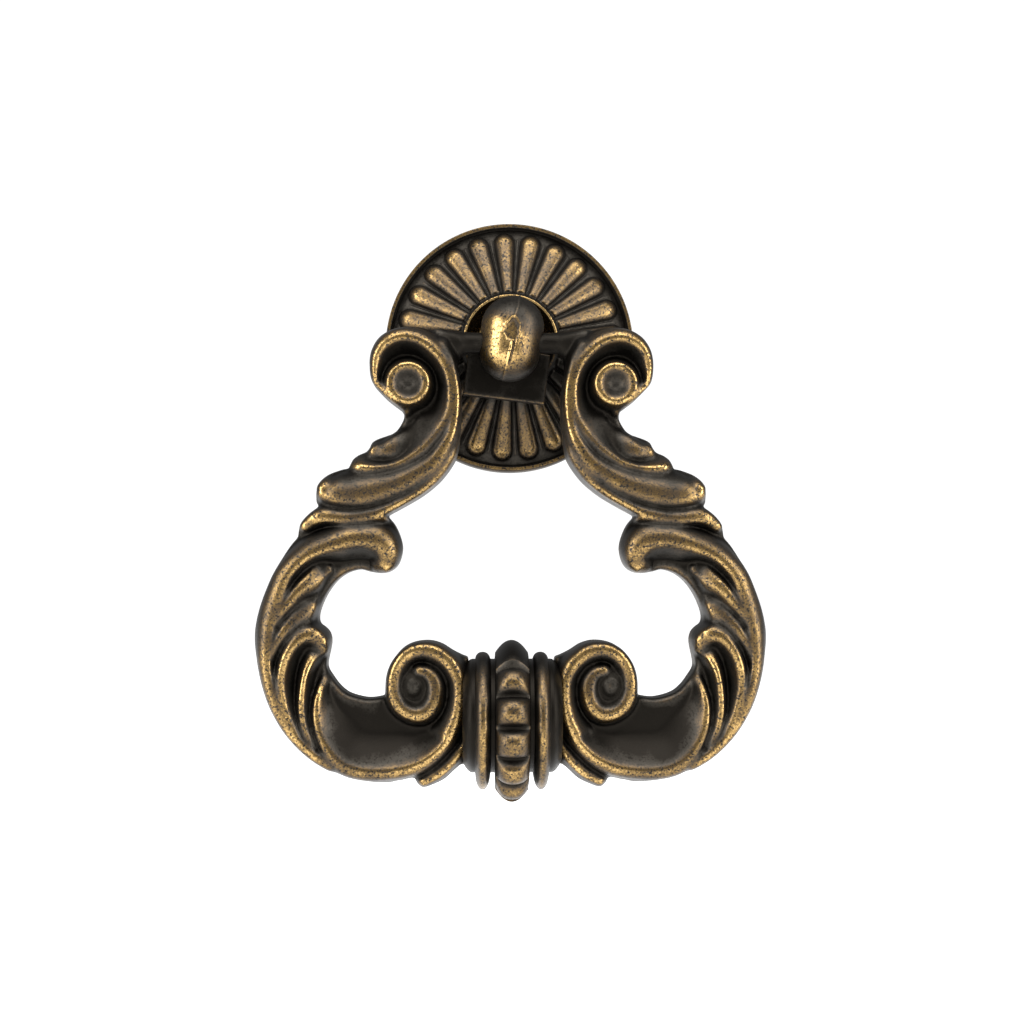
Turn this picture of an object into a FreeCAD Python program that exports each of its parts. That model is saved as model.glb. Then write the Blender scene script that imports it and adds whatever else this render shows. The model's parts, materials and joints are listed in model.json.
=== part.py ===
import FreeCAD, Part

import math
import os

import Sketcher

from FreeCAD import Placement, Rotation, Vector

# Cast drop pull for a drawer or small door: a fluted round backplate, a post that is screwed on
# from behind, and a scrolled bail that hangs from the post on two stub pins of its own.
# The drawer face is the plane Y = 0, the handle's front looks along -Y, and +Z is up.
# The origin is the middle of the post's back end, on the axis of its screw hole.

doc = FreeCAD.newDocument("drop_pull")

# Driving sizes in millimetres, degrees and counts
SIZES = {
    # backplate
    "plate_diameter": 24.0,
    "plate_turn": 6.6,
    "rim_height": 1.9,
    "rim_width": 0.4,
    "rim_draft": 0.12,
    "band_height": 1.4,
    "band_width": 0.5,
    "field_inner_height": 4.5,
    "field_wall": 1.5,
    "foot_width": 1.5,
    "hub_diameter": 8.9,
    "hub_height": 5.3,
    "hub_crest_width": 0.3,
    "hub_crest_step": 0.05,
    "hub_side_slope": 0.25,
    "hub_floor_height": 3.4,
    "hub_floor_width": 0.35,
    "boss_wall": 2.4,
    "plate_hole_clearance": 0.15,
    # petals of the backplate
    "petal_count": 25,
    "petal_root_width": 0.86,
    "petal_tip_width": 1.66,
    "petal_root_rise": 0.45,
    "petal_tip_rise": 0.75,
    "petal_line_rise": 0.12,
    "petal_end_gap": 0.3,
    "field_bed": 0.3,
    # post
    "post_turn": 7.0,
    "shank_diameter": 5.4,
    "head_width": 5.9,
    "head_above": 4.4,
    "head_below": 3.9,
    "head_nose_radius": 2.35,
    "block_width": 7.6,
    "block_below": 5.0,
    "block_top_below": 1.2,
    "block_depth": 1.3,
    "tap_diameter": 3.45,
    "tap_depth": 6.0,
    # hinge
    "pivot_standoff": 8.2,
    "pivot_drop": 0.6,
    "pin_diameter": 1.8,
    "pin_clearance": 0.1,
    "pin_gap": 1.6,
    "pin_straight": 4.2,
    "pin_root_diameter": 3.2,
    "pin_root_reach": 7.8,
    # bail
    "bail_width": 46.6,
    "bail_drop": 34.3,
    "bail_back": 2.2,
    "bail_floor": 1.3,
    "bail_edge": 0.8,
    "strand_root": 1.6,
    "ridge_end_share": 0.45,
    "facet_step": 2.5,
    "limb_step": 3.0,
    "boss_sides": 14,
    # collar at the bottom of the bail
    "bead_ring_diameter": 14.9,
    "bead_ring_width": 2.9,
    "bead_diameter": 2.6,
    "bead_pitch": 25.7,
    "bead_count": 6,
    "bead_bed": 0.95,
    "side_ring_diameter": 12.3,
    "side_ring_width": 1.4,
    "groove_diameter": 11.2,
    "groove_width": 0.75,
    "neck_diameter": 9.8,
    "neck_reach": 4.6,
    "ring_chamfer": 0.35,
}

sheet = doc.addObject("Spreadsheet::Sheet", "sizes")
for row, (name, value) in enumerate(SIZES.items(), start=1):
    sheet.set(f"A{row}", name)
    sheet.set(f"B{row}", str(value))
    sheet.setAlias(f"B{row}", name)
doc.recompute()

# Corners round a petal, as (across, up) in shares of its half width and its rise
PETAL_ARCH = ((-1, 0), (-0.7, 0.7), (0, 1), (0.7, 0.7), (1, 0))
# Share of a petal's width and rise that is left where its tip rounds off
PETAL_NOSE = 0.65
# Corners round a ridge above its root, as (across, down from the crest) in shares of its half width
RIDGE_ARCH = ((1, 0.8), (0.4, 0), (-0.4, 0), (-1, 0.8))

# Courses of the bail's ridges, from an own drawing of the right half at the width and drop below.
# Each station is (across, down, rise above the floor, half width), from the middle of the hinge.
DRAWN_WIDTH = 46.6
DRAWN_DROP = 34.3

UPPER_SCROLL = (
    (10.7, 5.6, 0.6, 0.45), (11.7, 4.4, 0.9, 0.60), (12.4, 2.8, 1.1, 0.75), (11.9, 0.8, 1.3, 0.85),
    (9.9, -0.5, 1.4, 0.90), (7.5, 0.3, 1.4, 0.90), (5.8, 2.5, 1.4, 0.85), (5.5, 5.0, 1.4, 0.80),
    (6.2, 7.4, 1.5, 0.80), (8.5, 9.7, 1.7, 0.90), (11.5, 11.2, 1.5, 0.90), (13.6, 11.4, 0.7, 0.60),
)
OUTER_LOBE = (
    (7.9, 9.5, 1.1, 0.50), (10.2, 9.9, 1.4, 0.80), (12.2, 9.6, 1.0, 0.70), (13.3, 9.4, 0.3, 0.40),
)
SECOND_LEAF = (
    (5.7, 9.4, 0.9, 0.40), (7.5, 11.2, 1.6, 0.80), (10.2, 12.6, 1.8, 1.10), (13.4, 13.4, 1.6, 1.30),
    (15.8, 13.0, 1.0, 1.10), (17.1, 12.5, 0.2, 0.60),
)
THIRD_LEAF = (
    (6.8, 12.3, 0.9, 0.50), (9.3, 13.4, 1.5, 0.70), (12.2, 14.3, 1.7, 0.90), (15.2, 14.8, 1.3, 1.00),
    (17.5, 14.7, 0.5, 0.70),
)
INNER_LEAF = (
    (6.5, 12.5, 0.3, 0.40), (9.5, 14.2, 1.0, 0.60), (12.2, 15.2, 1.4, 0.70), (15.2, 16.0, 1.3, 0.90),
    (18.2, 16.5, 0.6, 0.80),
)
CROWN = (
    (10.7, 19.9, 0.3, 0.90), (10.5, 18.6, 1.1, 1.00), (11.6, 17.7, 1.5, 1.20), (14.0, 17.5, 1.7, 1.20),
    (16.7, 18.4, 1.7, 1.20), (19.2, 20.1, 1.6, 1.20), (21.1, 22.6, 1.5, 1.10), (22.2, 26.1, 1.4, 1.00),
    (21.9, 29.7, 1.4, 0.90), (20.5, 33.5, 1.4, 0.80), (18.2, 36.8, 1.4, 0.70),
)
LEAF_A = ((16.2, 20.3, 0.5, 0.60), (17.1, 20.8, 1.2, 0.80), (19.3, 22.8, 1.5, 0.80), (21.3, 25.4, 1.3, 0.60))
LEAF_B = ((17.6, 22.6, 0.6, 0.60), (18.9, 23.9, 1.3, 0.80), (20.7, 26.3, 1.4, 0.70), (21.8, 28.5, 1.2, 0.50))
LEAF_C = (
    (17.3, 26.1, 0.7, 0.80), (18.5, 27.0, 1.4, 0.90), (20.1, 29.0, 1.6, 0.80), (20.6, 31.5, 1.5, 0.70),
    (19.8, 34.5, 1.3, 0.50),
)
LEAF_D = (
    (17.3, 27.5, 0.6, 0.60), (18.5, 29.5, 1.3, 0.80), (19.1, 32.3, 1.5, 0.80), (18.4, 35.2, 1.4, 0.70),
    (16.5, 37.7, 1.2, 0.60),
)
LOWER_SCROLL = (
    (16.8, 28.8, 0.6, 0.50), (17.5, 31.5, 1.3, 0.70), (17.5, 34.5, 1.5, 0.80), (15.8, 37.2, 1.6, 0.80),
    (12.7, 38.5, 1.6, 0.80), (9.3, 38.3, 1.6, 0.80), (6.5, 36.6, 1.6, 0.80), (4.9, 34.1, 1.5, 0.80),
    (4.8, 31.5, 1.5, 0.80), (5.9, 29.1, 1.5, 0.80), (8.2, 28.0, 1.5, 0.80), (10.2, 29.1, 1.4, 0.75),
    (10.9, 31.4, 1.3, 0.70), (9.9, 33.5, 1.2, 0.65), (7.9, 33.4, 1.1, 0.60), (7.1, 31.7, 1.0, 0.50),
)
TAIL_LEAF = ((4.2, 35.7, 0.1, 0.50), (5.5, 37.4, 0.6, 0.80), (6.9, 38.6, 0.4, 0.90), (8.0, 39.6, -0.1, 0.80))
RIDGES = (
    UPPER_SCROLL, OUTER_LOBE, SECOND_LEAF, THIRD_LEAF, INNER_LEAF, CROWN,
    LEAF_A, LEAF_B, LEAF_C, LEAF_D, LOWER_SCROLL, TAIL_LEAF,
)

# The limb that carries the ridges: (across, down, half width)
LIMB = (
    (6.9, 5.5, 1.9), (8.0, 7.7, 2.4), (9.7, 9.9, 2.8), (11.7, 11.9, 3.0), (13.6, 14.1, 3.1), (15.5, 16.5, 3.3),
    (17.5, 19.4, 3.3), (19.3, 22.6, 3.0), (20.1, 26.3, 3.0), (19.5, 29.7, 3.1), (18.0, 32.8, 3.2),
    (15.4, 35.3, 3.2), (12.0, 36.3, 2.9), (8.5, 35.9, 3.0), (5.5, 34.8, 3.0), (2.7, 34.3, 3.6),
)
# Round grounds inside the scrolls and the hooked end of the crown: (across, down, radius)
GROUNDS = ((9.1, 2.3, 3.4), (12.0, 18.8, 2.1), (8.0, 31.6, 3.6))
# Eyes of the scrolls: (across, down, outer radius, rise, dish radius), where no dish means a dome
UPPER_EYE = (9.5, 3.7, 1.9, 1.0, 1.4)
LOWER_EYE = (8.9, 31.4, 0.9, 0.9)


def size(name):
    """One driving size, read from the sheet."""
    return float(getattr(sheet, name))


def check(part):
    """Stop where a feature failed or a shape is empty or faulty."""
    if "Invalid" in part.State or "Error" in part.State:
        raise RuntimeError(f"{part.Label} failed")
    if hasattr(part, "Shape") and (part.Shape.isNull() or not part.Shape.isValid()):
        raise RuntimeError(f"{part.Label} has no sound shape")


def origin_feature(body, role):
    """The body's own origin plane or axis of this role."""
    return next(feature for feature in body.Origin.OriginFeatures if feature.Role == role)


def new_sketch(body, name, role, offset=()):
    """An empty sketch on an origin plane, moved by expressions for x, y and z where given."""
    sketch = body.newObject("Sketcher::SketchObject", name)
    sketch.AttachmentSupport = [(origin_feature(body, role), "")]
    sketch.MapMode = "FlatFace"
    for letter, expression in zip("xyz", offset):
        sketch.setExpression(f"AttachmentOffset.Base.{letter}", expression)
    doc.recompute()
    return sketch


def pin_point(sketch, edge, across, up):
    """Tie an edge's first point to its two coordinates, where 0 puts it on the axis."""
    for kind, expression, axis in (("DistanceX", across, -2), ("DistanceY", up, -1)):
        if expression == "0":
            sketch.addConstraint(Sketcher.Constraint("PointOnObject", edge, 1, axis))
            continue
        value = float(sketch.evalExpression(expression))
        index = sketch.addConstraint(Sketcher.Constraint(kind, -1, 1, edge, 1, value))
        sketch.setExpression(f"Constraints[{index}]", expression)


def add_outline(sketch, corners):
    """Draw a closed outline of straight edges through corners given as expressions (across, up)."""
    places = [
        Vector(float(sketch.evalExpression(across)), float(sketch.evalExpression(up)), 0)
        for across, up in corners
    ]
    count = len(corners)
    for index in range(count):
        sketch.addGeometry(Part.LineSegment(places[index], places[(index + 1) % count]))
    for index in range(count):
        sketch.addConstraint(Sketcher.Constraint("Coincident", index, 2, (index + 1) % count, 1))
    for index, (across, up) in enumerate(corners):
        pin_point(sketch, index, across, up)


def add_circle(sketch, radius):
    """Draw a circle about the sketch's origin."""
    value = float(sketch.evalExpression(radius))
    sketch.addGeometry(Part.Circle(Vector(0, 0, 0), Vector(0, 0, 1), value))
    sketch.addConstraint(Sketcher.Constraint("Coincident", 0, 3, -1, 1))
    index = sketch.addConstraint(Sketcher.Constraint("Radius", 0, value))
    sketch.setExpression(f"Constraints[{index}]", radius)


def revolve(body, name, sketch, axis):
    """Turn a sketch once round an axis of its own or of the body."""
    feature = body.newObject("PartDesign::Revolution", name)
    feature.Profile = sketch
    feature.ReferenceAxis = axis
    feature.Angle = 360
    body.Tip = feature
    return feature


def pad(body, name, sketch, length):
    """Raise a sketch along its normal by an expression."""
    feature = body.newObject("PartDesign::Pad", name)
    feature.Profile = sketch
    feature.setExpression("Length", length)
    body.Tip = feature
    return feature


def build_rosette():
    """Fluted backplate: a dished ring with a raised hub rim, and petals all round its field."""
    body = doc.addObject("PartDesign::Body", "plate")
    hole = "sizes.shank_diameter / 2 + sizes.plate_hole_clearance"
    floor_edge = f"{hole} + sizes.hub_floor_width"
    crest = "sizes.hub_diameter / 2 - sizes.hub_crest_width"
    hub_foot = "sizes.hub_diameter / 2 + sizes.hub_side_slope"
    boss_edge = f"{hole} + sizes.boss_wall"
    outer = "sizes.plate_diameter / 2"
    rim_edge = f"{outer} - sizes.rim_draft"
    rim_inner = f"{rim_edge} - sizes.rim_width"
    foot_inner = f"{outer} - sizes.foot_width"
    disc = new_sketch(body, "disc_profile", "XZ_Plane")
    add_outline(disc, (
        (hole, "0"),
        (boss_edge, "0"),
        (boss_edge, "sizes.field_inner_height - sizes.field_wall"),
        (foot_inner, "sizes.band_height - sizes.field_wall / 2"),
        (foot_inner, "0"),
        (outer, "0"),
        (rim_edge, "sizes.rim_height"),
        (rim_inner, "sizes.rim_height"),
        (rim_inner, "sizes.band_height"),
        (f"{rim_inner} - 2 * sizes.band_width", "sizes.band_height"),
        (hub_foot, "sizes.field_inner_height - sizes.field_bed"),
        (f"{crest} + sizes.hub_crest_width / 2", "sizes.hub_height - sizes.hub_crest_step"),
        (crest, "sizes.hub_height - sizes.hub_crest_step"),
        (floor_edge, "sizes.hub_floor_height"),
        (hole, "sizes.hub_floor_height"),
    ))
    revolve(body, "disc", disc, (disc, ["V_Axis"]))
    petals = doc.addObject("Part::Feature", "petals")
    petals.Shape = fluted_field()
    rosette = doc.addObject("Part::Fuse", "rosette")
    rosette.Base = body
    rosette.Tool = petals
    rosette.Label = "rosette"
    facing = Rotation(Vector(1, 0, 0), 90)
    rosette.Placement = Placement(Vector(0, 0, 0), facing * Rotation(Vector(0, 0, 1), size("plate_turn")))
    return rosette


def fluted_field():
    """The sloping field of the backplate with its petals and the rim of its hub, as one ring.
    A petal is a rounded ridge that widens outwards, and a fine line stands up between two of them."""
    hub_edge = size("hub_diameter") / 2
    foot = hub_edge + size("hub_side_slope")
    crest = hub_edge - size("hub_crest_width")
    rim_inner = size("plate_diameter") / 2 - size("rim_draft") - size("rim_width")
    band_inner = rim_inner - size("band_width")
    slope = (size("field_inner_height") - size("band_height")) / (band_inner - foot)
    count = round(size("petal_count"))
    root = size("petal_root_width") / 2
    tip = size("petal_tip_width") / 2
    end = band_inner - size("petal_end_gap")
    nose = end - tip * PETAL_NOSE
    line = size("petal_line_rise")

    def around(radius, level, half=root, rise=0, line=0):
        """One closed section at a level, with petals of this half width and rise above it."""
        places = []
        for index in range(count):
            middle = math.tau * index / count
            turns = [(middle - math.pi / count, line)]
            turns += [(middle + across * half / radius, up * rise) for across, up in PETAL_ARCH]
            places += [
                Vector(radius * math.cos(turn), radius * math.sin(turn), level + up) for turn, up in turns
            ]
        return places

    def field(radius):
        """Height of the field between the petals."""
        return size("field_inner_height") - (radius - foot) * slope

    under = 2 * size("field_bed")
    return skinned([
        around(crest + size("hub_crest_width") / 4, field(foot) - under),
        around(crest + size("hub_crest_width") / 4, size("hub_height")),
        around(hub_edge, size("hub_height")),
        around(foot, field(foot), root, size("petal_root_rise"), line),
        around(end - tip, field(end - tip), tip, size("petal_tip_rise"), line),
        around(nose, field(nose), tip * PETAL_NOSE, size("petal_tip_rise") * PETAL_NOSE, line),
        around(end, field(end), tip * PETAL_NOSE),
        around(rim_inner - size("band_width") / 2, field(rim_inner), tip),
        around(rim_inner - size("band_width") / 2, field(rim_inner) - under, tip),
    ], ring=True)


def build_post():
    """Post: an egg-shaped head over a flat stop block, with a tapped shank through the backplate."""
    body = doc.addObject("PartDesign::Body", "post_casting")
    across_head = "sizes.head_width / 2"
    head_length = "(sizes.head_above + sizes.head_below)"
    head = new_sketch(body, "head_profile", "YZ_Plane", (
        "-(sizes.pivot_drop + sizes.head_below)", "sizes.pivot_standoff",
    ))
    nose = "sizes.head_nose_radius"
    add_outline(head, (
        ("0", "0"),
        (f"(1 - cos(25)) * {nose}", f"sin(25) * {nose}"),
        (f"(1 - cos(58)) * {nose}", f"sin(58) * {nose}"),
        (nose, nose),
        (f"{head_length} - {across_head}", across_head),
        (f"{head_length} - (1 - cos(58)) * {across_head}", f"sin(58) * {across_head}"),
        (f"{head_length} - (1 - cos(25)) * {across_head}", f"sin(25) * {across_head}"),
        (head_length, "0"),
    ))
    revolve(body, "head", head, (head, ["H_Axis"]))
    shank = new_sketch(body, "shank_outline", "XY_Plane")
    add_circle(shank, "sizes.shank_diameter / 2")
    pad(body, "shank", shank, "sizes.pivot_standoff")
    block = new_sketch(body, "block_outline", "XY_Plane", (
        "-sizes.block_width / 2", "-(sizes.pivot_drop + sizes.block_below)", "sizes.hub_height",
    ))
    block_up = "sizes.block_below - sizes.block_top_below"
    add_outline(block, (
        ("0", "0"), ("sizes.block_width", "0"), ("sizes.block_width", block_up), ("0", block_up),
    ))
    pad(body, "block", block, "sizes.block_depth")
    tap = new_sketch(body, "tap_outline", "XY_Plane")
    add_circle(tap, "sizes.tap_diameter / 2")
    tap_hole = body.newObject("PartDesign::Pocket", "tap_hole")
    tap_hole.Profile = tap
    tap_hole.Reversed = True
    tap_hole.setExpression("Length", "sizes.tap_depth")
    body.Tip = tap_hole
    facing = Rotation(Vector(1, 0, 0), 90)
    body.Placement = Placement(Vector(0, 0, 0), facing * Rotation(Vector(0, 0, 1), -size("post_turn")))

    # the pin hole stays level although the post is turned a little on its screw
    pin_hole = doc.addObject("Part::Cylinder", "pin_hole")
    pin_hole.Placement.Rotation = Rotation(Vector(0, 1, 0), 90)
    pin_hole.setExpression("Radius", "sizes.pin_diameter / 2 + sizes.pin_clearance")
    pin_hole.setExpression("Height", "2 * sizes.head_width")
    pin_hole.setExpression("Placement.Base.x", "-sizes.head_width")
    pin_hole.setExpression("Placement.Base.y", "-sizes.pivot_standoff")
    pin_hole.setExpression("Placement.Base.z", "-sizes.pivot_drop")
    post = doc.addObject("Part::Cut", "post")
    post.Base = body
    post.Tool = pin_hole
    post.Label = "post"
    return post


def wide():
    """How much wider the bail is than it was drawn."""
    return size("bail_width") / DRAWN_WIDTH


def tall():
    """How much longer the bail hangs than it was drawn."""
    return size("bail_drop") / DRAWN_DROP


def stations(rows, step):
    """Points evenly spaced on the smooth curve through the rows: (place, direction, other values)."""
    places = [Vector(row[0] * wide(), 0, -row[1] * tall()) for row in rows]
    curve = Part.BSplineCurve()
    curve.interpolate(places)
    marks = [curve.parameter(place) for place in places]
    count = max(len(rows), 1 + round(curve.length() / step))
    found = []
    for place in curve.discretize(Number=count):
        mark = min(max(curve.parameter(place), marks[0]), marks[-1])
        span = next(i for i in range(len(rows) - 1) if mark <= marks[i + 1] + 1e-6)
        share = (mark - marks[span]) / (marks[span + 1] - marks[span])
        values = [low + (high - low) * share for low, high in zip(rows[span][2:], rows[span + 1][2:])]
        found.append((place, Vector(*curve.tangent(mark)[0]), values))
    return found


def section(place, direction, outline):
    """Corners of a section across a course, from corners given as (aside, forward)."""
    aside = direction.cross(Vector(0, 1, 0)).normalize()
    return [place + aside * across + Vector(0, -forward, 0) for across, forward in outline]


def skinned(sections, ring=False):
    """A solid lofted through sections of like corners, its skin made of flat facets.
    A ring runs on from its last section to its first and has no ends."""
    sides = len(sections[0])
    points = [corner for corners in sections for corner in corners]
    facets = []
    last = len(points) - sides
    for near in range(0, len(points) if ring else last, sides):
        far = (near + sides) % len(points)
        for side in range(sides):
            after = (side + 1) % sides
            facets.append((near + side, far + side, near + after))
            facets.append((near + after, far + side, far + after))
    if not ring:
        for side in range(1, sides - 1):
            facets.append((0, side, side + 1))
            facets.append((last, last + side + 1, last + side))
    # six times the volume inside, which is negative where the facets face inwards
    inside = sum(points[one].dot(points[two].cross(points[three])) for one, two, three in facets)
    if inside < 0:
        facets = [(three, two, one) for one, two, three in facets]
    skin = Part.Shape()
    skin.makeShapeFromMesh((points, facets), 1e-6)
    return Part.makeSolid(skin)


def ridge(rows):
    """A tapering ridge with a narrow flat crest, rounded shoulders and blunt rounded ends."""
    floor = size("bail_floor")
    root = -size("strand_root")
    course = stations(rows, size("facet_step"))
    first_place, first_way, (first_rise, first_half) = course[0]
    last_place, last_way, (last_rise, last_half) = course[-1]
    blunt = size("ridge_end_share")
    lead = (first_place - first_way * first_half * (1 - blunt), first_way,
            (first_rise - first_half * blunt, first_half * blunt))
    trail = (last_place + last_way * last_half * (1 - blunt), last_way,
             (last_rise - last_half * blunt, last_half * blunt))
    sections = []
    for place, direction, (rise, half) in [lead] + course + [trail]:
        arch = [(half * across, floor + rise - half * down) for across, down in RIDGE_ARCH]
        sections.append(section(place, direction, [(half, root)] + arch + [(-half, root)]))
    return skinned(sections)


def limb():
    """The flat limb that carries the ridges, with chamfered edges at the back."""
    floor = size("bail_floor")
    back = -size("bail_back")
    edge = size("bail_edge")
    sections = []
    for place, direction, (half,) in stations(LIMB, size("limb_step")):
        outline = [
            (half, floor), (-half, floor), (-half, back + edge),
            (edge - half, back), (half - edge, back), (half, back + edge),
        ]
        sections.append(section(place, direction, outline))
    return skinned(sections)


def turned(profile, base, axis, angle=360):
    """A solid turned from a closed profile of points about an axis."""
    face = Part.Face(Part.makePolygon(profile + profile[:1]))
    return face.revolve(base, axis, angle)


def boss(across, down, levels):
    """A round boss of flat facets on the bail; each level is (forward, radius)."""
    sides = round(size("boss_sides"))
    middle = Vector(across * wide(), 0, -down * tall())
    turns = [math.tau * side / sides for side in range(sides)]
    return skinned([
        [middle + Vector(radius * math.cos(turn), -forward, radius * math.sin(turn)) for turn in turns]
        for forward, radius in levels
    ])


def ground(across, down, radius):
    """A round ground with the limb's own edge."""
    floor = size("bail_floor")
    back = -size("bail_back")
    edge = size("bail_edge")
    return boss(across, down, [(back, radius - edge), (back + edge, radius), (floor, radius)])


def upper_eye():
    """The dished eye in the upper scroll."""
    across, down, radius, rise, dish = UPPER_EYE
    floor = size("bail_floor")
    crest = floor + rise
    slope = (radius - dish) / 2
    return boss(across, down, [
        (0, radius), (crest - slope, radius), (crest, radius - slope), (crest - slope, dish),
        (floor + slope, dish / 2),
    ])


def lower_eye():
    """The domed eye in the lower scroll."""
    across, down, radius, rise = LOWER_EYE
    floor = size("bail_floor")
    return boss(across, down, [
        (0, radius), (floor + rise / 2, radius), (floor + rise, radius / 2),
    ])


def stub_pin():
    """Half of the hinge: a straight pin that flares into the upper scroll."""
    pin = size("pin_diameter") / 2
    root = size("pin_root_diameter") / 2
    inner = size("pin_gap") / 2
    straight = size("pin_straight")
    reach = size("pin_root_reach") * wide()
    profile = [
        Vector(inner, 0, 0), Vector(inner, 0, pin), Vector(straight, 0, pin),
        Vector(reach, 0, root), Vector(reach, 0, 0),
    ]
    return turned(profile, Vector(0, 0, 0), Vector(1, 0, 0))


def collar():
    """Turned rings and the row of beads at the bottom, about a level axis."""
    bead_ring = size("bead_ring_diameter") / 2
    bed = bead_ring - size("bead_bed")
    band = size("bead_ring_width") / 2
    groove = size("groove_diameter") / 2
    ring = size("side_ring_diameter") / 2
    ring_inner = band + size("groove_width")
    ring_outer = ring_inner + size("side_ring_width")
    neck = size("neck_diameter") / 2
    reach = size("neck_reach")
    chamfer = size("ring_chamfer")
    half = [
        (band, bed), (ring_inner, groove), (ring_inner + chamfer, ring), (ring_outer - chamfer, ring),
        (ring_outer, neck), (reach, neck), (reach, 0),
    ]
    outline = half + [(-across, radius) for across, radius in reversed(half)]
    middle = Vector(0, 0, -size("bail_drop"))
    along = Vector(1, 0, 0)
    spindle = turned([middle + Vector(a, 0, r) for a, r in outline], middle, along)

    # a plain band closes the ring behind the beads
    shown = size("bead_count") * size("bead_pitch")
    top = bead_ring - chamfer / 2
    band_outline = [(-band, bed - chamfer), (-band, top - chamfer), (chamfer - band, top)]
    band_outline += [(-across, radius) for across, radius in reversed(band_outline)]
    start = Rotation(along, 90 - shown / 2)
    plain_band = turned(
        [middle + start.multVec(Vector(a, 0, r)) for a, r in band_outline], middle, along, shown - 360
    )
    bead = size("bead_diameter") / 2
    beads = []
    for index in range(round(size("bead_count"))):
        lift = (index + 0.5) * size("bead_pitch") - shown / 2
        centre = middle + Rotation(along, lift).multVec(Vector(0, bead - bead_ring, 0))
        beads.append(Part.makeCylinder(bead, 2 * band, centre - along * band, along))
    return [spindle, plain_band] + beads


def build_bail():
    """Scrolled bail, one casting: both carved limbs, the collar between them and the stub pins."""
    carving = [ridge(rows) for rows in RIDGES] + [ground(*place) for place in GROUNDS]
    half = limb().multiFuse(carving + [upper_eye(), lower_eye(), stub_pin()])
    other_half = half.mirror(Vector(0, 0, 0), Vector(1, 0, 0))
    bail = doc.addObject("Part::Feature", "bail")
    bail.Label = "bail"
    bail.Shape = half.multiFuse([other_half] + collar()).Solids[0]
    bail.Placement = Placement(Vector(0, -size("pivot_standoff"), -size("pivot_drop")), Rotation())
    return bail


nodes = [build_rosette(), build_post(), build_bail()]
doc.recompute()
for part in doc.Objects:
    check(part)
os.makedirs("parts", exist_ok=True)
for node in nodes:
    node.Shape.exportStep(f"parts/{node.Label}.step")
    print(node.Label, len(node.Shape.Solids), "solid", round(node.Shape.Volume, 1), "mm3")
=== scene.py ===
import json
import math

import bpy
import numpy as np
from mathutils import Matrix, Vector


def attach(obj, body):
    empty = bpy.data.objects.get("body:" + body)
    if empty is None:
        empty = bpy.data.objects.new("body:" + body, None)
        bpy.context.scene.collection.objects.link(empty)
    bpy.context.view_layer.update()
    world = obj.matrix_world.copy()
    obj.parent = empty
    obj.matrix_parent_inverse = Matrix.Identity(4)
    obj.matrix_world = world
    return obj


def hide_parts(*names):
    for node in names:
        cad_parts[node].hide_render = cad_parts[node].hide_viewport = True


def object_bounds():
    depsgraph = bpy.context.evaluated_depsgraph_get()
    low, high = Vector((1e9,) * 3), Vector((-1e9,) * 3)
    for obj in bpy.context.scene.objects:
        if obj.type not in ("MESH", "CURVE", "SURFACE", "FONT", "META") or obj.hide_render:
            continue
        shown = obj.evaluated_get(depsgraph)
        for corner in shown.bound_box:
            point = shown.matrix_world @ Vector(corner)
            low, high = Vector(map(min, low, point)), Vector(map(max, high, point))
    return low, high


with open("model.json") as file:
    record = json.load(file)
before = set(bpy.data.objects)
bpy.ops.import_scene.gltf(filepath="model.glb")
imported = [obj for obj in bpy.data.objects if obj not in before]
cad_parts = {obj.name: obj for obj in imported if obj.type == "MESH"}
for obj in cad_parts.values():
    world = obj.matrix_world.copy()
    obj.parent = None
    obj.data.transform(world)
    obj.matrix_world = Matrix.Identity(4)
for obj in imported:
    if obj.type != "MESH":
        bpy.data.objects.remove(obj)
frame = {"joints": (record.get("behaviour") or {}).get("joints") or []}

import openvdb
from mathutils import Euler, Vector

# Cast drop pull in antique bronze: the fluted backplate, the post and the scrolled bail.
# Sizes are millimetres in the CAD's frame until a mesh is made, and Blender's own are metres.
MM = 0.001
cad_low, cad_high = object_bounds()
joint = next(j for j in frame["joints"] if j["name"] == "bail_hinge")
PIVOT = np.array(joint["pos_m"]) / MM

# The photograph's camera: a 50 mm lens in front of the bail, a little left of it and low
PHOTO_WIDTH = 1024
SENSOR = 36
LENS = 50
CAMERA = np.array([-3.5, -137.5, -20.4])
YAW, PITCH = math.radians(1.57), math.radians(1.93)
CAMERA_TURN = (math.pi / 2 + PITCH, 0, -YAW)

PETALS = 25
PLATE_TURN = math.radians(6.6)

# Heights of the bail's body are above the hinge's plane, towards the front
BACK = -2.2
CHANNEL = 0.9
FRONT_ROUND = 0.6
BACK_ROUND = 0.8

# The stub pins run along the hinge, from the middle of the post into the scrolls, and widen at their roots
PIN_RADIUS = 0.95
PIN_WIDENING = 0.2
PIN_WIDENS_FROM, PIN_WIDENS_OVER = 3.6, 2.4
PIN_START, PIN_END = 0.8, 6.6
PIN_BLEND = 1.0

# The grid in which a half of the bail is cut out, from the hinge's middle, and the post's grid
VOXEL = 0.15
BAIL_LOW, BAIL_HIGH = np.array([0.3, -7.0, -42.0]), np.array([24.4, 4.0, 4.5])
POST_VOXEL = 0.08
POST_LOW, POST_HIGH = np.array([-4.4, -12.0, -6.6]), np.array([4.8, 0.6, 4.6])

# How a crest's sides are carved
SIDE_SLOPE = 3.5
CREST_ROUND = 0.32
CAST_SOFTNESS = 0.13
BELOW_ALL = -9

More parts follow.
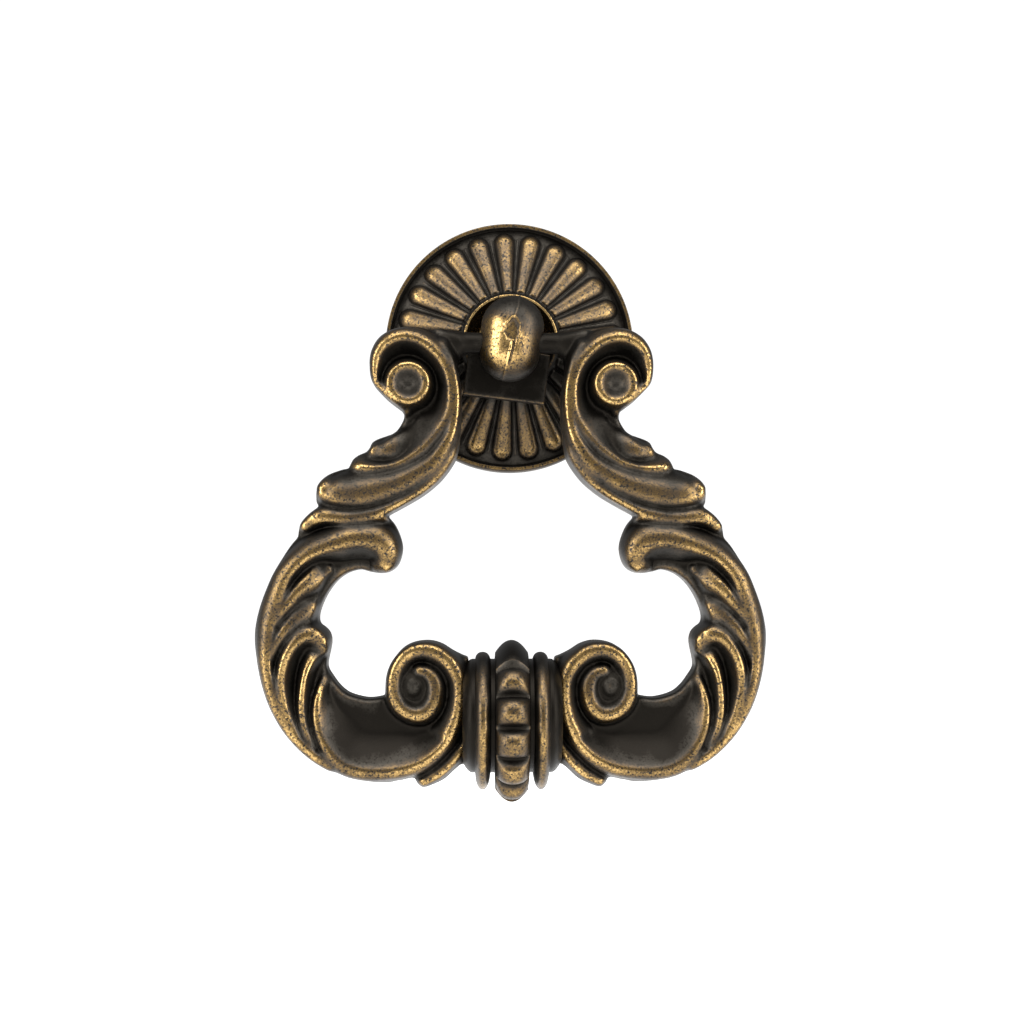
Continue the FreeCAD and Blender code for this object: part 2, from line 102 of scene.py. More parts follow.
# The collar, along its axis and out from it: a band between two rings on a neck
COLLAR_DOWN = 34.3
COLLAR_REACH = 4.4
COLLAR_ROWS, COLLAR_COLUMNS = 185, 360
NECK_RADIUS, NECK_SWELL = 5.1, 0.45
NECK_TAPER, NECK_TAPER_FROM, NECK_TAPER_OVER = 0.9, 3.5, 0.9
RING_PLACE, RING_HALF, RING_RADIUS = 2.62, 0.68, 6.17
BAND_HALF = 1.5
BAND_PLAIN_EDGE = 6.1
BAND_EDGE, BAND_RISE = 5.75, 0.45
BAND_RADIUS = BAND_EDGE + BAND_RISE
BEAD_TOP = 7.25
BEAD_HALF = 1.48

# Beads lie side by side round the band: degrees from one to the next, and how many below and above the front
BEAD_PITCH = 26.0
BEAD_SHARE = 0.43
BEADS_BELOW, BEADS_ABOVE = 3, 2

# The backplate's section, as radius and height above its back, and its front's rings of corners, as the
# first radius, the last and how many
PLATE_FRONT = (
    (2.72, 3.4), (3.2, 3.4), (4.1, 5.15), (4.2, 5.3), (4.4, 5.3), (4.5, 5.15), (4.75, 4.5), (10.98, 1.4),
    (11.45, 1.3), (11.5, 1.9), (11.86, 1.9),
)
PLATE_BACK = (
    (12.0, 0.1), (12.0, 0), (11.9, 0), (10.6, 0), (10.5, 0.1), (10.5, 0.65), (5.25, 3.0), (5.25, 0.1),
    (5.15, 0), (2.82, 0), (2.72, 0.1),
)
PLATE_RINGS = (
    (2.72, 3.2, 5), (3.3, 4.1, 8), (4.15, 4.5, 8), (4.55, 4.8, 5), (4.9, 10.9, 74), (10.95, 11.45, 6),
    (11.5, 11.86, 5),
)

# The backplate's petals, which grow wider and higher from root to tip, and the lines between them
CORNERS_A_PETAL = 28
HUB_OUTSIDE = 4.5
PETAL_START, PETAL_END = 4.7, 10.95
PETAL_ROOT_HALF, PETAL_TIP_HALF = 0.50, 0.99
PETAL_ROOT_RISE, PETAL_ADDED_RISE = 0.5, 0.35
RELIEF_FROM, RELIEF_OVER = 4.55, 0.35
LINE_RISE, LINE_HALF, LINE_END = 0.12, 0.07, 10.4

# The post: its head spans an upper ball and a slightly smaller one below, and leans a little
HEAD_LEAN = math.radians(7)
HEAD_TOP, HEAD_TOP_RADIUS = 0.85, 2.87
HEAD_NOSE, HEAD_NOSE_RADIUS = -1.4, 2.75
BLOCK_HALF_WIDTH, BLOCK_MIDDLE, BLOCK_HALF_HEIGHT = 3.8, -3.3, 2.3
BLOCK_DEPTH, BLOCK_HALF_DEPTH = 5.95, 0.65
SHANK_RADIUS, SHANK_LENGTH = 2.7, 8.2
TAP_RADIUS, TAP_DEPTH = 1.725, 6
BORE_RADIUS = 1.0
HEAD_BLEND = 0.3

# The marks on the head: the casting's seam, the crack beside it and the broken gate's scar
SEAM_HEIGHT, SEAM_WIDTH = 0.09, 0.09
CRACK_DEPTH, CRACK_WIDTH, CRACK_ASIDE = 0.17, 0.10, 0.24
CRACK_BOTTOM, CRACK_TOP = -3.0, -0.7
SCAR_ACROSS, SCAR_UP = -0.05, 0.1
SCAR_HALF_WIDTH, SCAR_HALF_HEIGHT = 0.70, 1.05
SCAR_DEPTH, SCAR_LIP = 0.15, 0.14

# How the finish is rubbed: everywhere, by fine and broad relief, and on crests in front; and how much shade
# is painted on tops
EVEN_WEAR = 0.26
FINE_ROUNDS, FINE_DEPTH, FINE_WEAR = 12, 0.10, 0.10
BROAD_ROUNDS, BROAD_DEPTH, BROAD_WEAR = 90, 0.35, 0.23
CREST_WEAR = 0.35
# painted shade on surfaces that face up
TOP_PAINTED_SHADE = 0.10

# The studio, in metres
LIT_MIDDLE = Vector((0, -0.008, -0.02))
FLOOR_SIZE, FLOOR_HEIGHT = 6, -0.09

# The outline of the bail's left half in the photograph: pixel across, pixel down
OUTLINE = (
    (459, 345), (457, 340), (452, 337), (445, 335.5), (438, 333), (430, 330.5), (421, 328), (410, 326.7),
    (400, 327.5), (390, 330.5), (381, 336), (375, 343), (371, 351.5), (369.5, 360), (369.7, 368), (371, 377),
    (374, 385), (380, 392), (388, 400), (397, 407), (403.5, 412), (404.5, 416), (403, 422), (398, 430),
    (393, 434), (386.5, 436.5), (377, 440), (372, 443.5), (370, 448.5), (366, 452.5), (359, 455.5),
    (353.5, 460), (351, 466), (349, 468.5), (342, 470), (327, 476), (319.5, 485), (316.5, 494), (317, 503),
    (319, 506.5), (314, 511), (306, 518), (301, 525), (299, 532), (298, 537.5), (291, 546), (279, 564),
    (267, 588), (259, 611), (255.3, 632), (256, 652), (260, 676), (267.5, 699), (277, 718), (291, 738),
    (309, 755), (329, 769), (350, 777.5), (370, 781.5), (387, 782), (403, 779.5), (414, 777.5), (417, 782),
    (423, 786.7), (433, 784), (445, 778), (455, 769), (461, 764), (466, 763), (468.5, 760), (468.5, 660),
    (467, 657), (463, 655.5), (453, 650.5), (441.5, 643.5), (428.5, 640.5), (413.5, 642.5), (402, 649),
    (392, 661.5), (387, 674), (385.5, 687), (384.5, 695), (380, 697), (369, 698.2), (357, 696), (347, 692),
    (339, 685), (333, 677), (328, 669), (327.5, 662), (330, 650), (331.2, 641), (329.5, 633), (325, 627.5),
    (319.5, 623), (319, 614), (324, 600), (331, 588), (339, 579), (349, 572.5), (361, 569.5), (370, 571.5),
    (379, 573), (388, 572.5), (396.5, 567), (401, 558), (402.5, 547), (400, 536), (395, 525), (388.5, 517),
    (388.5, 515.5), (405, 506.5), (422, 496.5), (435, 486.5), (443.5, 478), (452, 466.5), (457, 456.5),
    (459.5, 443), (461, 427), (462, 410), (461.5, 393), (459.5, 378), (458, 366), (460, 354), (460.5, 349),
)

# A crest is a course of stations (pixel across, pixel down, height, width on its left, width on its right),
# then the height and shape at which each side ends. Left and right are as one walks the course.
CRESTS = {
    "scroll_band": (
        ((394, 404, 1.9, 0.5, 0.5), (386, 398.5, 2.1, 0.55, 0.5), (379.5, 391, 2.25, 0.6, 0.55),
         (375.6, 380, 2.4, 0.5, 0.65), (375.8, 366, 2.6, 0.6, 0.75),
         (380.5, 351.5, 2.7, 0.8, 0.95), (390, 342, 2.8, 1.0, 1.1), (403, 338, 2.85, 1.1, 1.15),
         (417.5, 340.8, 2.85, 1.1, 1.15), (430.5, 349.5, 2.85, 1.1, 1.1), (440.5, 361, 2.8, 1.1, 1.0),
         (446.5, 374, 2.75, 1.1, 1.0), (449, 388, 2.75, 1.1, 1.1), (449, 403, 2.75, 1.0, 1.5),
         (446.5, 416, 2.75, 0.7, 2.2), (441, 427, 2.75, 0.55, 3.0), (433, 437, 2.7, 0.6, 3.2),
         (421, 448.5, 2.7, 0.7, 2.4), (405, 459, 2.6, 0.7, 1.2), (388, 465.5, 2.45, 0.7, 0.9),
         (370, 467, 2.4, 0.6, 1.1), (358, 465.8, 2.2, 0.5, 1.1), (352, 464.5, 1.7, 0.4, 0.8)),
        (0.7, "round"), (0.9, "hollow")),
    "eye_join": (
        ((377, 386, 2.2, 0.5, 0.7), (381, 393, 2.4, 0.7, 0.9), (387.5, 399.5, 2.45, 0.8, 1.0),
         (395, 403.5, 2.35, 0.7, 0.9), (402, 406, 2.0, 0.5, 0.6)),
        (1.2, "round"), (1.6, "soft")),
    "second_leaf": (
        ((441, 345, 2.3, 0.5, 1.0), (448.5, 359, 2.6, 0.55, 1.0), (453.5, 374, 2.7, 0.6, 1.0),
         (456, 388, 2.75, 0.65, 1.0), (456.5, 402, 2.8, 0.65, 0.95), (454.7, 417, 2.85, 0.65, 0.7),
         (451, 431, 2.95, 0.6, 0.5), (445.5, 444, 3.0, 0.7, 0.8), (434.5, 461.5, 3.0, 0.9, 1.2),
         (418, 474, 3.0, 1.0, 1.5), (396.5, 485.5, 3.0, 1.0, 1.8), (371, 494, 2.95, 1.05, 2.2),
         (357, 496.5, 2.9, 1.0, 2.3), (345, 496.5, 2.8, 0.95, 2.1), (333, 494.5, 2.6, 0.9, 1.7),
         (325, 492, 2.3, 0.8, 1.2)),
        (0.7, "round"), (1.2, "swell")),
    "third_leaf": (
        ((460.5, 424, 1.7, 0.3, 0.4), (457, 440, 2.2, 0.5, 0.5), (451, 456, 2.5, 0.6, 0.6),
         (440, 471, 2.6, 0.8, 0.7), (424, 489, 2.7, 0.9, 0.8), (405, 502.5, 2.7, 0.9, 0.9),
         (386, 511.5, 2.65, 0.7, 0.9), (369, 515.7, 2.6, 0.6, 0.9), (357, 517.8, 2.55, 0.55, 0.9),
         (341, 519, 2.5, 0.5, 1.0), (325, 517.8, 2.35, 0.5, 1.0), (314, 519.8, 2.1, 0.5, 0.9),
         (306, 525, 1.6, 0.5, 0.6)),
        (0.7, "round"), (1.2, "swell")),
    "outer_lobe": (
        ((375, 451, 1.7, 0.6, 0.5), (385, 451.5, 2.0, 1.0, 0.6), (399, 449, 2.0, 1.5, 0.7),
         (412, 441.5, 1.7, 1.3, 0.7), (422, 432, 1.3, 1.0, 0.6)),
        (0.6, "round"), (1.2, "swell")),
    "crown": (
        ((384, 563, 2.1, 0.9, 1.5), (384, 555, 2.5, 1.2, 1.5), (380, 547.5, 2.7, 1.3, 1.7),
         (372, 542.5, 2.85, 1.3, 1.9), (361, 541, 2.9, 1.2, 1.8), (349, 541.8, 2.95, 1.2, 1.7),
         (337, 545, 3.0, 1.1, 1.6), (325, 549.5, 3.0, 0.8, 1.6), (313, 555, 3.0, 0.5, 1.6),
         (303, 562, 3.0, 0.4, 1.5), (294, 571, 3.0, 0.35, 1.5), (287, 582, 2.95, 0.3, 1.6),
         (281, 598, 2.9, 0.3, 1.6), (276, 614, 2.8, 0.3, 1.6), (272, 630, 2.75, 0.3, 1.5),
         (269, 648, 2.75, 0.3, 1.25), (268.5, 664, 2.75, 0.3, 1.1), (271, 684, 2.75, 0.3, 1.0),
         (277, 704, 2.7, 0.3, 1.0), (287, 724, 2.65, 0.3, 1.0), (299, 740, 2.6, 0.3, 1.0),
         (313, 754, 2.5, 0.4, 1.0), (329, 763.5, 2.3, 0.4, 0.9)),
        (1.35, "soft"), (0.4, "round")),
    "leaf_a": (
        ((323, 568.5, 1.5, 0.5, 0.3), (314, 573, 2.0, 0.9, 0.35), (305, 580, 2.45, 1.1, 0.4),
         (296, 590, 2.75, 0.9, 0.5), (287.5, 602, 2.85, 0.7, 0.5), (280.5, 613, 2.8, 0.4, 0.5),
         (275, 623, 2.6, 0.3, 0.4)),
        (1.7, "swell"), (1.8, "soft")),
    "leaf_b": (
        ((311, 596, 1.4, 0.4, 0.3), (305, 604, 2.0, 0.9, 0.3), (296, 613.5, 2.4, 1.2, 0.35),
         (285.5, 626, 2.7, 0.9, 0.4), (278, 638, 2.75, 0.6, 0.4), (272.5, 650, 2.65, 0.4, 0.4),
         (269.5, 661, 2.4, 0.3, 0.3)),
        (1.7, "swell"), (1.8, "soft")),
    "leaf_c": (
        ((322, 641, 2.0, 1.0, 0.4), (313, 637, 2.5, 0.9, 0.8), (303, 638.5, 2.75, 0.7, 0.9),
         (294, 645.5, 2.85, 0.7, 0.6), (286.5, 657, 2.9, 0.7, 0.5), (282, 671, 2.9, 0.7, 0.45),
         (280.5, 686, 2.85, 0.7, 0.4), (282.5, 702, 2.8, 0.7, 0.4), (287.5, 718, 2.7, 0.6, 0.4),
         (294.5, 733, 2.6, 0.5, 0.35), (303, 747, 2.3, 0.4, 0.3)),
        (1.6, "soft"), (1.6, "round")),
    "leaf_d": (
        ((317, 650, 1.5, 0.3, 0.4), (312, 659, 2.1, 0.35, 0.6), (306, 672, 2.5, 0.4, 0.5),
         (302.3, 687, 2.6, 0.5, 0.4), (300.7, 704, 2.6, 0.6, 0.4), (301.7, 720, 2.6, 0.6, 0.4),
         (306, 735, 2.5, 0.5, 0.4), (312.5, 749, 2.3, 0.4, 0.3)),
        (1.5, "soft"), (1.6, "soft")),
    "bowl": (
        ((325.5, 680, 1.3, 0.4, 0.4), (320.5, 690, 2.0, 0.8, 0.35), (317, 704, 2.4, 1.8, 0.4),
         (316.3, 718, 2.5, 2.8, 0.4), (318.7, 732, 2.55, 3.4, 0.45), (324.5, 745, 2.6, 3.6, 0.6),
         (334, 757, 2.65, 3.6, 0.9), (347, 766, 2.7, 3.6, 1.1), (364, 771, 2.75, 3.6, 1.0),
         (386, 771.5, 2.75, 3.6, 0.9), (403, 769, 2.75, 3.4, 0.9), (417, 764.5, 2.75, 3.0, 0.9),
         (429, 757.5, 2.75, 2.4, 0.85), (440, 747.5, 2.75, 1.9, 0.8), (448.5, 736, 2.75, 1.6, 0.8),
         (455, 722.5, 2.75, 1.4, 0.75)),
        (0.8, "hollow"), (0.4, "round")),
    "lower_scroll": (
        ((448.5, 736, 2.75, 1.3, 0.8), (455, 722.5, 2.75, 1.3, 0.75), (458.5, 708, 2.75, 1.2, 0.7),
         (459.5, 693, 2.75, 1.1, 0.7),
         (457.5, 680, 2.7, 1.0, 0.8), (451.5, 668, 2.65, 1.0, 0.9), (443, 659, 2.6, 1.0, 1.1),
         (433, 653.5, 2.55, 1.0, 1.3), (421.5, 651, 2.5, 1.0, 1.3), (410, 653.5, 2.5, 1.1, 1.2),
         (401, 661, 2.5, 1.15, 1.0), (395, 672.5, 2.5, 1.15, 0.8), (393.2, 685, 2.5, 1.15, 0.8),
         (395, 697.5, 2.5, 1.15, 0.8), (400.5, 707.5, 2.5, 1.15, 0.8), (409.5, 713.5, 2.5, 1.15, 0.8),
         (419.5, 714.5, 2.5, 1.2, 0.9), (428, 710, 2.45, 1.2, 0.9), (433.5, 701.5, 2.45, 1.2, 0.9),
         (434.7, 691.5, 2.4, 1.1, 0.9), (432.5, 682, 2.3, 0.9, 0.9), (427, 675, 2.2, 0.7, 0.8),
         (419.5, 672, 2.1, 0.6, 0.6)),
        (1.3, "soft"), (0.4, "round")),
    "tail_leaf": (
        ((468, 742, 1.6, 0.4, 0.5), (458.5, 755.5, 1.9, 0.5, 0.6), (448.5, 767, 1.9, 0.6, 0.7),
         (437, 776.5, 1.8, 0.6, 0.7), (424, 783, 1.6, 0.6, 0.5)),
        (0.5, "soft"), (0.3, "round")),
}
UPPER_EYE = (408.2, 383.8)
LOWER_EYE = (411.3, 686.5)

# Spots where the colour is made darker or, below 0, lighter: pixel across, pixel down, height, radius, how
# much
TONE_SPOTS = (
    (411.3, 686.5, 2.2, 1.3, 0.28), (411.3, 686.5, 2.4, 4.6, 0.11), (401, 438, 1.8, 1.3, 0.18),
    (366, 464, 2.3, 1.6, -0.12), (420, 430, 1.3, 1.6, 0.15), (399, 560, 1.5, 1.2, 0.10),
    (345, 478, 2.2, 1.4, 0.08), (384, 451, 2.0, 1.4, 0.13), (360, 700, 0.9, 2.4, 0.13),
    (378, 744, 1.2, 4.0, 0.13), (348, 735, 1.2, 3.0, 0.13), (408.2, 383.8, 1.9, 1.2, -0.20),
    (395, 397, 2.3, 0.9, -0.10), (356, 493, 2.8, 2.6, 0.07), (268, 640, 2.7, 3.5, 0.06),
    (430, 470, 2.9, 2.0, 0.05),
)

# Sections that are turned round the middles of the eyes: distance from the middle, height
EYE_SECTION = (
    (0, 1.65), (0.35, 1.7), (0.7, 1.92), (1.0, 2.25), (1.25, 2.48), (1.5, 2.59), (1.8, 2.6), (2.0, 2.42),
    (2.15, 2.05), (2.3, 1.5), (2.5, 1.1), (2.8, 0.8),
)
BULB_SECTION = (
    (0, 2.25), (0.35, 2.21), (0.65, 2.09), (0.9, 1.9), (1.1, 1.72), (1.3, 1.65), (1.6, 1.65), (1.8, 1.3),
    (2.1, 0.4),
)
EYE_DISH = 1.5
EYE_LINE_RADIUS, EYE_LINE_WIDTH, EYE_LINE_HEIGHT = 2.9, 0.14, 0.16


def from_photo(spots, heights):
    """Where the photograph's pixels lie at these heights: how far left of the middle and below the hinge."""
    focal = LENS / SENSOR * PHOTO_WIDTH
    spots = np.asarray(spots, float)
    right = (spots[:, 0] - PHOTO_WIDTH / 2) / focal
    up = (PHOTO_WIDTH / 2 - spots[:, 1]) / focal
    rays = np.column_stack([right, up, -np.ones(len(spots))])
    rays = rays @ np.array(Euler(CAMERA_TURN).to_matrix()).T
    reach = (PIVOT[1] - heights - CAMERA[1]) / rays[:, 1]
    across = -(CAMERA[0] + reach * rays[:, 0])
    down = PIVOT[2] - (CAMERA[2] + reach * rays[:, 2])
    return np.column_stack([across, down])


def smooth_course(rows, step=0.12, closed=False):
    """Rows closely spaced on a rounded curve through the stations."""
    rows = np.array(rows, float)
    if closed:
        ends = np.vstack([rows[-1:], rows, rows[:2]])
    else:
        ends = np.vstack([2 * rows[0] - rows[1], rows, 2 * rows[-1] - rows[-2]])
    found = []
    for near in range(1, len(ends) - 2):
        before, start, stop, after = ends[near - 1:near + 3]
        count = max(2, int(np.hypot(*(stop - start)[:2]) / step))
        t = np.arange(count)[:, None] / count
        found.append(0.5 * (
            2 * start + (stop - before) * t + (2 * before - 5 * start + 4 * stop - after) * t ** 2
            + (3 * start - before - 3 * stop + after) * t ** 3
        ))
    return np.vstack(found + [rows[:1] if closed else rows[-1:]])


def nearest_on(course, across, down):
    """Distances from a course, whether columns are on its left, and its other values beside them."""
    best = np.full(across.shape, 1e9)
    left = np.zeros(across.shape, bool)
    values = np.zeros((course.shape[1] - 2,) + across.shape)
    for one, two in zip(course[:-1], course[1:]):
        dx, dz = two[0] - one[0], two[1] - one[1]
        ax, az = across - one[0], down - one[1]
        share = np.clip((ax * dx + az * dz) / (dx * dx + dz * dz + 1e-12), 0, 1)
        away = np.hypot(ax - share * dx, az - share * dz)
        nearer = away < best
        best = np.where(nearer, away, best)
        left = np.where(nearer, dx * az - dz * ax > 0, left)
        for k in range(len(values)):
            values[k] = np.where(nearer, one[k + 2] + (two[k + 2] - one[k + 2]) * share, values[k])
    return best, left, values


def inside_of(course, across, down):
    """Whether each column is inside a closed course."""
    inside = np.zeros(across.shape, bool)
    for (x0, z0), (x1, z1) in zip(course[:-1], course[1:]):
        crosses = (z0 > down) != (z1 > down)
        with np.errstate(divide="ignore", invalid="ignore"):
            inside ^= crosses & (across < x0 + (down - z0) * (x1 - x0) / (z1 - z0))
    return inside


SIDES = {
    "round": lambda t: 1 - np.sqrt(1 - t * t),
    "swell": lambda t: t ** 2.2,
    "soft": lambda t: t * t * (3 - 2 * t),
    "hollow": lambda t: 1 - (1 - t) ** 1.8,
}


def flank(away, width, top, low, shape):
    """Height of a crest's side at a distance from it."""
    away = np.sqrt(away ** 2 + CREST_ROUND ** 2) - CREST_ROUND
    t = np.clip(away / width, 0, 1)
    return top - (top - low) * SIDES[shape](t) - np.clip(away - width, 0, None) * SIDE_SLOPE


def blurred(heights, spread):
    """A grid of heights, smoothed over this many millimetres."""
    reach = 6
    weights = np.exp(-0.5 * (np.arange(-reach, reach + 1) * VOXEL / spread) ** 2)
    weights /= weights.sum()
    for axis in (0, 1):
        margins = [(reach, reach) if k == axis else (0, 0) for k in (0, 1)]
        padded = np.pad(heights, margins, mode="edge")
        size = heights.shape[axis]
        heights = sum(w * np.take(padded, np.arange(k, k + size), axis) for k, w in enumerate(weights))
    return heights


def crest_heights(stations, left_end, right_end, across, down):
    """Height of one crest over a grid of columns."""
    rows = np.array(stations, float)
    rows[:, :2] = from_photo(rows[:, :2], rows[:, 2])
    away, left, (top, left_width, right_width) = nearest_on(smooth_course(rows), across, down)
    left_side = flank(away, left_width, top, np.minimum(left_end[0], top), left_end[1])
    right_side = flank(away, right_width, top, np.minimum(right_end[0], top), right_end[1])
    return np.where(left, left_side, right_side)


def turned_heights(middle, section, across, down):
    """Distances from a middle, how far down the middle is, and heights of the section turned round it."""
    x, z = from_photo([middle], section[0][1])[0]
    away = np.hypot(across - x, down - z)
    return away, z, np.interp(away, *zip(*section), right=BELOW_ALL)


def half_bail_columns(across, down):
    """Front height and outline distance of the bail's half over a grid of columns."""
    front = np.full(across.shape, CHANNEL)
    for stations, left_end, right_end in CRESTS.values():
        front = np.maximum(front, crest_heights(stations, left_end, right_end, across, down))
    away, eye_down, eye = turned_heights(UPPER_EYE, EYE_SECTION, across, down)
    front = np.where(away < EYE_DISH, eye, np.maximum(front, eye))
    above = np.clip((eye_down + 1.0 - down) / 1.5, 0, 1)
    front += EYE_LINE_HEIGHT * above * np.exp(-((away - EYE_LINE_RADIUS) / EYE_LINE_WIDTH) ** 2)
    front = np.maximum(front, turned_heights(LOWER_EYE, BULB_SECTION, across, down)[2])
    front = blurred(front, CAST_SOFTNESS)
    course = smooth_course(from_photo(OUTLINE, 0), closed=True)
    away = nearest_on(course, across, down)[0]
    return front, np.where(inside_of(course, across, down), -away, away)


def smooth_max(a, b, width):
    """The larger of two fields, with their meeting rounded over this width."""
    blend = np.clip(0.5 + 0.5 * (a - b) / width, 0, 1)
    return b + (a - b) * blend + width * blend * (1 - blend)


def skin(field, low, voxel):
    """Corners and quads of a field's zero surface, in millimetres."""
    band = 3 * voxel
    grid = openvdb.FloatGrid(band)
    grid.copyFromArray(np.clip(field, -band, band).astype(np.float32))
    points, quads = grid.convertToQuads(0.0)
    return points * voxel + low, quads


def relax(points, quads, rounds, share=0.5):
    """Corner places after rounds of moving each towards the middle of its neighbours."""
    one = quads.ravel()
    other = np.roll(quads, -1, axis=1).ravel()
    near = np.concatenate([one, other])
    far = np.concatenate([other, one])
    count = np.bincount(near, minlength=len(points))[:, None]
    for _ in range(rounds):
        total = np.stack([np.bincount(near, points[far, k], len(points)) for k in range(3)], axis=1)
        points = points + share * (total / np.maximum(count, 1) - points)
    return points


def corner_normals(points, quads):
    """Unit normals at the corners."""
    a, b, c, d = (points[quads[:, k]] for k in range(4))
    face = np.cross(c - a, d - b)
    normal = np.zeros_like(points)
    for k in range(4):
        for axis in range(3):
            normal[:, axis] += np.bincount(quads[:, k], face[:, axis], len(points))
    return normal / np.maximum(np.linalg.norm(normal, axis=1, keepdims=True), 1e-12)


def dot(a, b):
    """Dot products of the vectors in two lists."""
    return np.einsum("ij,ij->i", a, b)


def outward(points, quads):
    """The quads, all turned over if they face inwards."""
    a, b, c, d = (points[quads[:, k]] for k in range(4))
    volume = dot(a, np.cross(b, c)).sum() + dot(a, np.cross(c, d)).sum()
    return quads[:, ::-1] if volume < 0 else quads


def wear_and_shade_of(points, quads, normal):
    """How far the finish is rubbed at each corner: less in hollows, more on crests in front, and painted
    shade where surfaces face up.
    """
    fine = dot(points - relax(points, quads, FINE_ROUNDS), normal) / FINE_DEPTH
    broad = dot(points - relax(points, quads, BROAD_ROUNDS), normal) / BROAD_DEPTH
    forward = np.clip(-normal[:, 1], 0, 1) ** 2
    upward = np.clip(normal[:, 2], 0, 1)
    wear_and_shade = EVEN_WEAR + FINE_WEAR * np.clip(fine, -1, 1) + BROAD_WEAR * np.clip(broad, -1, 1)
    # surfaces that face up get painted shade
    wear_and_shade += CREST_WEAR * forward * np.clip(0.1 + 1.3 * broad, 0, 1) - TOP_PAINTED_SHADE * upward
    return wear_and_shade


def make_piece(name, points, quads, body, nodes, slot, extra_wear_and_shade):
    """A mesh piece from millimetre corners, with the wear of its finish and its painted light and shade
    stored on the corners.
    """
    quads = outward(points, quads)
    normal = corner_normals(points, quads)
    wear_and_shade = wear_and_shade_of(points, quads, normal) + extra_wear_and_shade(points, normal)
    points = np.clip(points, np.array(cad_low) / MM, np.array(cad_high) / MM)
    mesh = bpy.data.meshes.new(name)
    mesh.vertices.add(len(points))
    mesh.vertices.foreach_set("co", (points * MM).astype(np.float32).ravel())
    mesh.loops.add(quads.size)
    mesh.loops.foreach_set("vertex_index", quads.astype(np.int32).ravel())
    mesh.polygons.add(len(quads))
    mesh.polygons.foreach_set("loop_start", np.arange(0, quads.size, 4, dtype=np.int32))
    mesh.update(calc_edges=True)
    mesh.shade_smooth()
    # the stored values hold the finish's wear together with painted light and shade
    layer = mesh.attributes.new("wear_and_shade", "FLOAT", "POINT")
    layer.data.foreach_set("value", wear_and_shade.astype(np.float32))
    mesh.materials.append(bronze)
    piece = bpy.data.objects.new(name, mesh)
    bpy.context.collection.objects.link(piece)
    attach(piece, body)
    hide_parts(*nodes)


def grid_axes(low, high, voxel):
    """Places along the three axes of a grid."""
    return [start + voxel * np.arange(round((stop - start) / voxel)) for start, stop in zip(low, high)]


def half_bail():
    """Corners and quads of the bail's right half with its stub pin."""
    x, y, z = grid_axes(BAIL_LOW, BAIL_HIGH, VOXEL)
    across, down = np.meshgrid(x, -z, indexing="ij")
    front, outline = half_bail_columns(across, down)
    # over a steep front a height is more than a distance, by this factor
    flatness = 1 / np.sqrt(1 + np.hypot(*np.gradient(front, VOXEL)) ** 2)
    depth = -y[None, :, None]
    above_front = (depth - front[:, None, :]) * flatness[:, None, :]
    body = smooth_max(outline[:, None, :] + 0 * depth, above_front, FRONT_ROUND)
    body = smooth_max(body, BACK - depth, BACK_ROUND)
    widened = np.clip((across - PIN_WIDENS_FROM) / PIN_WIDENS_OVER, 0, 1)
    pin = np.hypot(depth, z[None, None, :]) - (PIN_RADIUS + PIN_WIDENING * widened)[:, None, :]
    pin = np.maximum(pin, np.maximum(PIN_START - across, across - PIN_END)[:, None, :])
    points, quads = skin(-smooth_max(-body, -pin, PIN_BLEND), BAIL_LOW, VOXEL)
    return relax(points, quads, 1) + PIVOT, quads


def bail_tones(points, normal):
    """The hollows and the back keep their dark finish; the arms beside the post and most of the spots are
    made darker.
    """
    x = np.abs(points[:, 0])
    up = points[:, 2]
    height = PIVOT[1] - points[:, 1]
    arm = np.clip((6.6 - x) / 1.6, 0, 1) * np.clip((up + 4.5) / 2, 0, 1)
    hollow = np.clip((2.0 - height) / 0.8, 0, 1) * np.clip((height + 0.4) / 0.8, 0, 1)
    kept = 0.40 * arm + 0.16 * hollow + 0.07 * (normal[:, 1] > 0.5)
    for across, down, above, radius, amount in TONE_SPOTS:
        middle, drop = from_photo([(across, down)], above)[0]
        away = np.hypot(x - middle, PIVOT[2] - drop - up)
        kept += amount * np.clip(1.5 - 1.5 * away / radius, 0, 1) * (height > 0)
    return -kept


def plate_wear_and_shade(points, normal):
    """The petals' tops and the hub's upper part shine with wear, and the hub's inner wall has painted light;
    the rim and the back stay dark; painted shadow lies below the post and on the hub's lower part.
    """
    up = points[:, 2]
    r = np.hypot(points[:, 0], up)
    forward = np.clip(-normal[:, 1], 0, 1)
    pitch = math.tau / PETALS
    swing = np.mod(np.arctan2(up, points[:, 0]) - PLATE_TURN + pitch / 2, pitch) - pitch / 2
    petal = np.clip(1 - (swing * r / (0.08 * r + 0.05)) ** 2, 0, 1) * (r > PETAL_START) * (r < 10.9)
    # the hub's gold fades towards its bottom: painted shadow of the post and bail
    hub = (r < HUB_OUTSIDE) * (points[:, 1] < -3.6) * np.clip((up + 1.5) / 1.5, 0, 1)
    # painted light on the hub's inner wall, which the post shades
    painted_inner_light = (r > 3.0) * (r < 4.2) * (up > -1)
    # painted shadow of the post and bail on the plate below them
    shaded = np.clip((7.0 - r) / 2, 0, 1) * np.clip(-up / 1.5, 0, 1)
    wear_and_painted_light = forward * (0.07 * petal + 0.20 * hub) + 0.28 * painted_inner_light
    return wear_and_painted_light - 0.32 * shaded - 0.31 * (r > 11.3) - 0.30 * (normal[:, 1] > 0.5)


